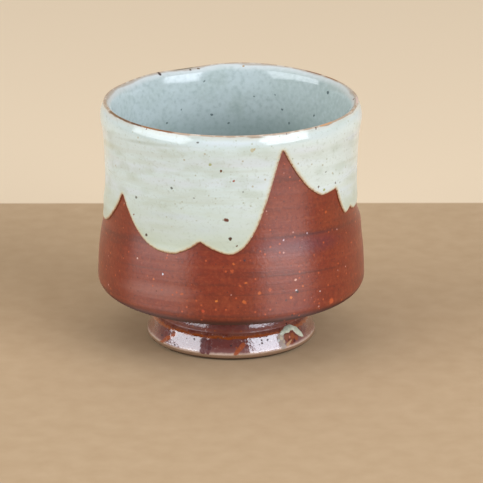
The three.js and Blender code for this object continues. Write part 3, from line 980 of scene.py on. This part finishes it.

# %% [markdown]
# ## Stoneware
# Fired stoneware is tan and matte, with fine grit in it, and darker low on the foot. Painted contact shadow
# makes it nearly black along the edge that it stands on. On the lip a breath of glaze is left on it, which
# makes it half glossy there: pale tan, with burnt brown and orange stretches and a few dark spots.

# %% Burnt stretches of the lip: azimuth, half length in mm, colour
lip_burns = on_lip([
    (-66, 4, "#8a6a4a"), (-56, 4, "#7d5a3c"), (-47, 3, "#6f4c30"), (-38, 4, "#9c6a3c"), (-30, 3, "#8e5a34"),
    (47, 3, "#cc9a70"), (88, 4, "#dcc0b2"), (125, 4, "#9a6c48"), (137, 4, "#8a5c3c"), (-157, 4, "#7a6a50"),
])


# %% Bare clay
def bare_stoneware():
    material, shader, coords = new_finish("bare_tan_stoneware")
    grit = add(material, "TexNoise", {"Vector": coords, "Scale": per_metre(0.8), "Detail": 3})[0]
    patches = add(material, "TexNoise", {"Vector": coords, "Scale": per_metre(3), "Detail": 4})[0]
    height = add(material, "SeparateXYZ", {0: coords})["Z"]
    lip = add(material, "MapRange", {0: height, 1: 60 * MM, 2: 61 * MM})[0]
    pale_lip = add(material, "Math", {0: patches, 1: lip}, operation="MULTIPLY")[0]
    masks = [
        (grit, 0.5, 0.7, 0.6, "#8a6546"), (height, 2.3 * MM, 1.7 * MM, 0.85, "#7d5d42"),
        # Painted contact shadow: the lowest millimetre of clay, where the foot meets the floor, is nearly
        # black.
        (height, 1.1 * MM, 0.6 * MM, 0.9, "#2e1f15"),
        (lip, 0, 1, 1, "#b79d84"), (pale_lip, 0.48, 0.62, 0.9, "#d6c8b6"),
        *specks_over(material, coords, outside, 0, lip_burns + lip_spots),
    ]
    gloss = add(material, "MapRange", {0: lip, 3: 0.85, 4: 0.35})[0]
    bump = add(material, "Bump", {"Height": grit, "Strength": 0.3, "Distance": 0.1 * MM})[0]
    feed(shader, {"Base Color": layered(material, "#b58f6c", masks), "Roughness": gloss, "Normal": bump})
    return material


clay = bare_stoneware()
for piece in (stoneware_bowl, stoneware_foot):
    dress(piece, clay)

# %% [markdown]
# ## Floor, light and camera
# The bowl stands on a plain pale floor between two large soft boxes, which is how glossy pottery is
# usually lit: each box shows as one clean white shape in the glaze. The floor is paler some way behind
# the bowl, as where a table ends in front of a wall. The room behind is bright and the room in front is
# dim, so that the bowl's sides catch a little light and its face stays clear. The camera looks down
# from in front.

# %% Floor
FLOOR_SIZE = 3.0
TABLE_END = 147 * MM
TABLE_EDGE = 1.5 * MM

floor_mesh = bpy.data.meshes.new("floor")
floor_shell = bmesh.new()
bmesh.ops.create_grid(floor_shell, x_segments=1, y_segments=1, size=FLOOR_SIZE)
floor_shell.to_mesh(floor_mesh)
floor_shell.free()
floor = bpy.data.objects.new("floor", floor_mesh)
bpy.context.scene.collection.objects.link(floor)
floor_finish, floor_shader, floor_coords = new_finish("pale_floor")
floor_grain = {"Vector": floor_coords, "Scale": per_metre(8), "Detail": 6}
grain = add(floor_finish, "TexNoise", floor_grain)[0]
depth = add(floor_finish, "SeparateXYZ", {0: floor_coords})["Y"]
floor_masks = [(grain, 0, 1, 1, "#b79874"), (depth, TABLE_END, TABLE_END + TABLE_EDGE, 1, "#eed6b6")]
floor_paint = layered(floor_finish, "#c7a986", floor_masks)
feed(floor_shader, {"Base Color": floor_paint, "Roughness": 0.8, "Specular IOR Level": 0.2})
dress(floor, floor_finish)

# %% Lights
# Name, azimuth and elevation in degrees, width, height and distance in metres, brightness and colour
soft_boxes = [
    ("left_box", -67, 23, 1.65, 0.8, 1.6, 4.5, "#eef5fd"),
    ("right_box", 50, 27, 1.2, 1.05, 1.6, 6, "#eaf2fe"),
]
AIM = Vector((0, 0, 45 * MM))


def look_at(thing, target):
    """Turns a lamp or the camera towards a target."""
    thing.rotation_euler = (target - thing.location).to_track_quat("-Z", "Y").to_euler()


for name, turn, rise, width, tall, distance, brightness, colour in soft_boxes:
    light = bpy.data.lights.new(name, "AREA")
    light.shape = "RECTANGLE"
    light.size = width
    light.size_y = tall
    light.energy = brightness * math.pi * width * tall
    light.color = linear(colour)[:3]
    box = bpy.data.objects.new(name, light)
    turn, rise = math.radians(turn), math.radians(rise)
    towards = Vector((math.sin(turn) * math.cos(rise), -math.cos(turn) * math.cos(rise), math.sin(rise)))
    box.location = AIM + towards * distance
    look_at(box, AIM)
    bpy.context.scene.collection.objects.link(box)
    print(name, "is", width, "by", tall, "m and gives", round(light.energy), "W")

# %% The room: a pale wall behind the bowl, a lit ceiling, and little light from behind the camera
TO_WALL = (0, 1, 0)

room = bpy.data.worlds.new("studio_room")
bpy.context.scene.world = room
room.use_nodes = True
looking = add(room, "TexCoord")["Generated"]
backwards = add(room, "VectorMath", {0: looking, 1: TO_WALL}, operation="DOT_PRODUCT")["Value"]
upwards = add(room, "SeparateXYZ", {0: looking})["Z"]
room_masks = [(backwards, 0.15, 0.65, 1, "#bcac98"), (upwards, 0.5, 0.85, 1, "#dee1e4")]
feed(room.node_tree.nodes["Background"], {"Color": layered(room, "#63666a", room_masks)})

# %% Camera
CAMERA_PLACE = Vector((0, -1.1001, 0.4123))
CAMERA_AIM = Vector((0.0037, 0, 0.0343))
CAMERA_LENS = 241.5
SENSOR_WIDTH = 36

camera_data = bpy.data.cameras.new("camera")
camera_data.lens = CAMERA_LENS
camera_data.sensor_width = SENSOR_WIDTH
camera = bpy.data.objects.new("camera", camera_data)
camera.location = CAMERA_PLACE
look_at(camera, CAMERA_AIM)
bpy.context.scene.collection.objects.link(camera)
bpy.context.scene.camera = camera
print("the camera looks from", round((CAMERA_PLACE - CAMERA_AIM).length, 2), "m away")
bpy.context.scene.view_settings.view_transform = "Standard"
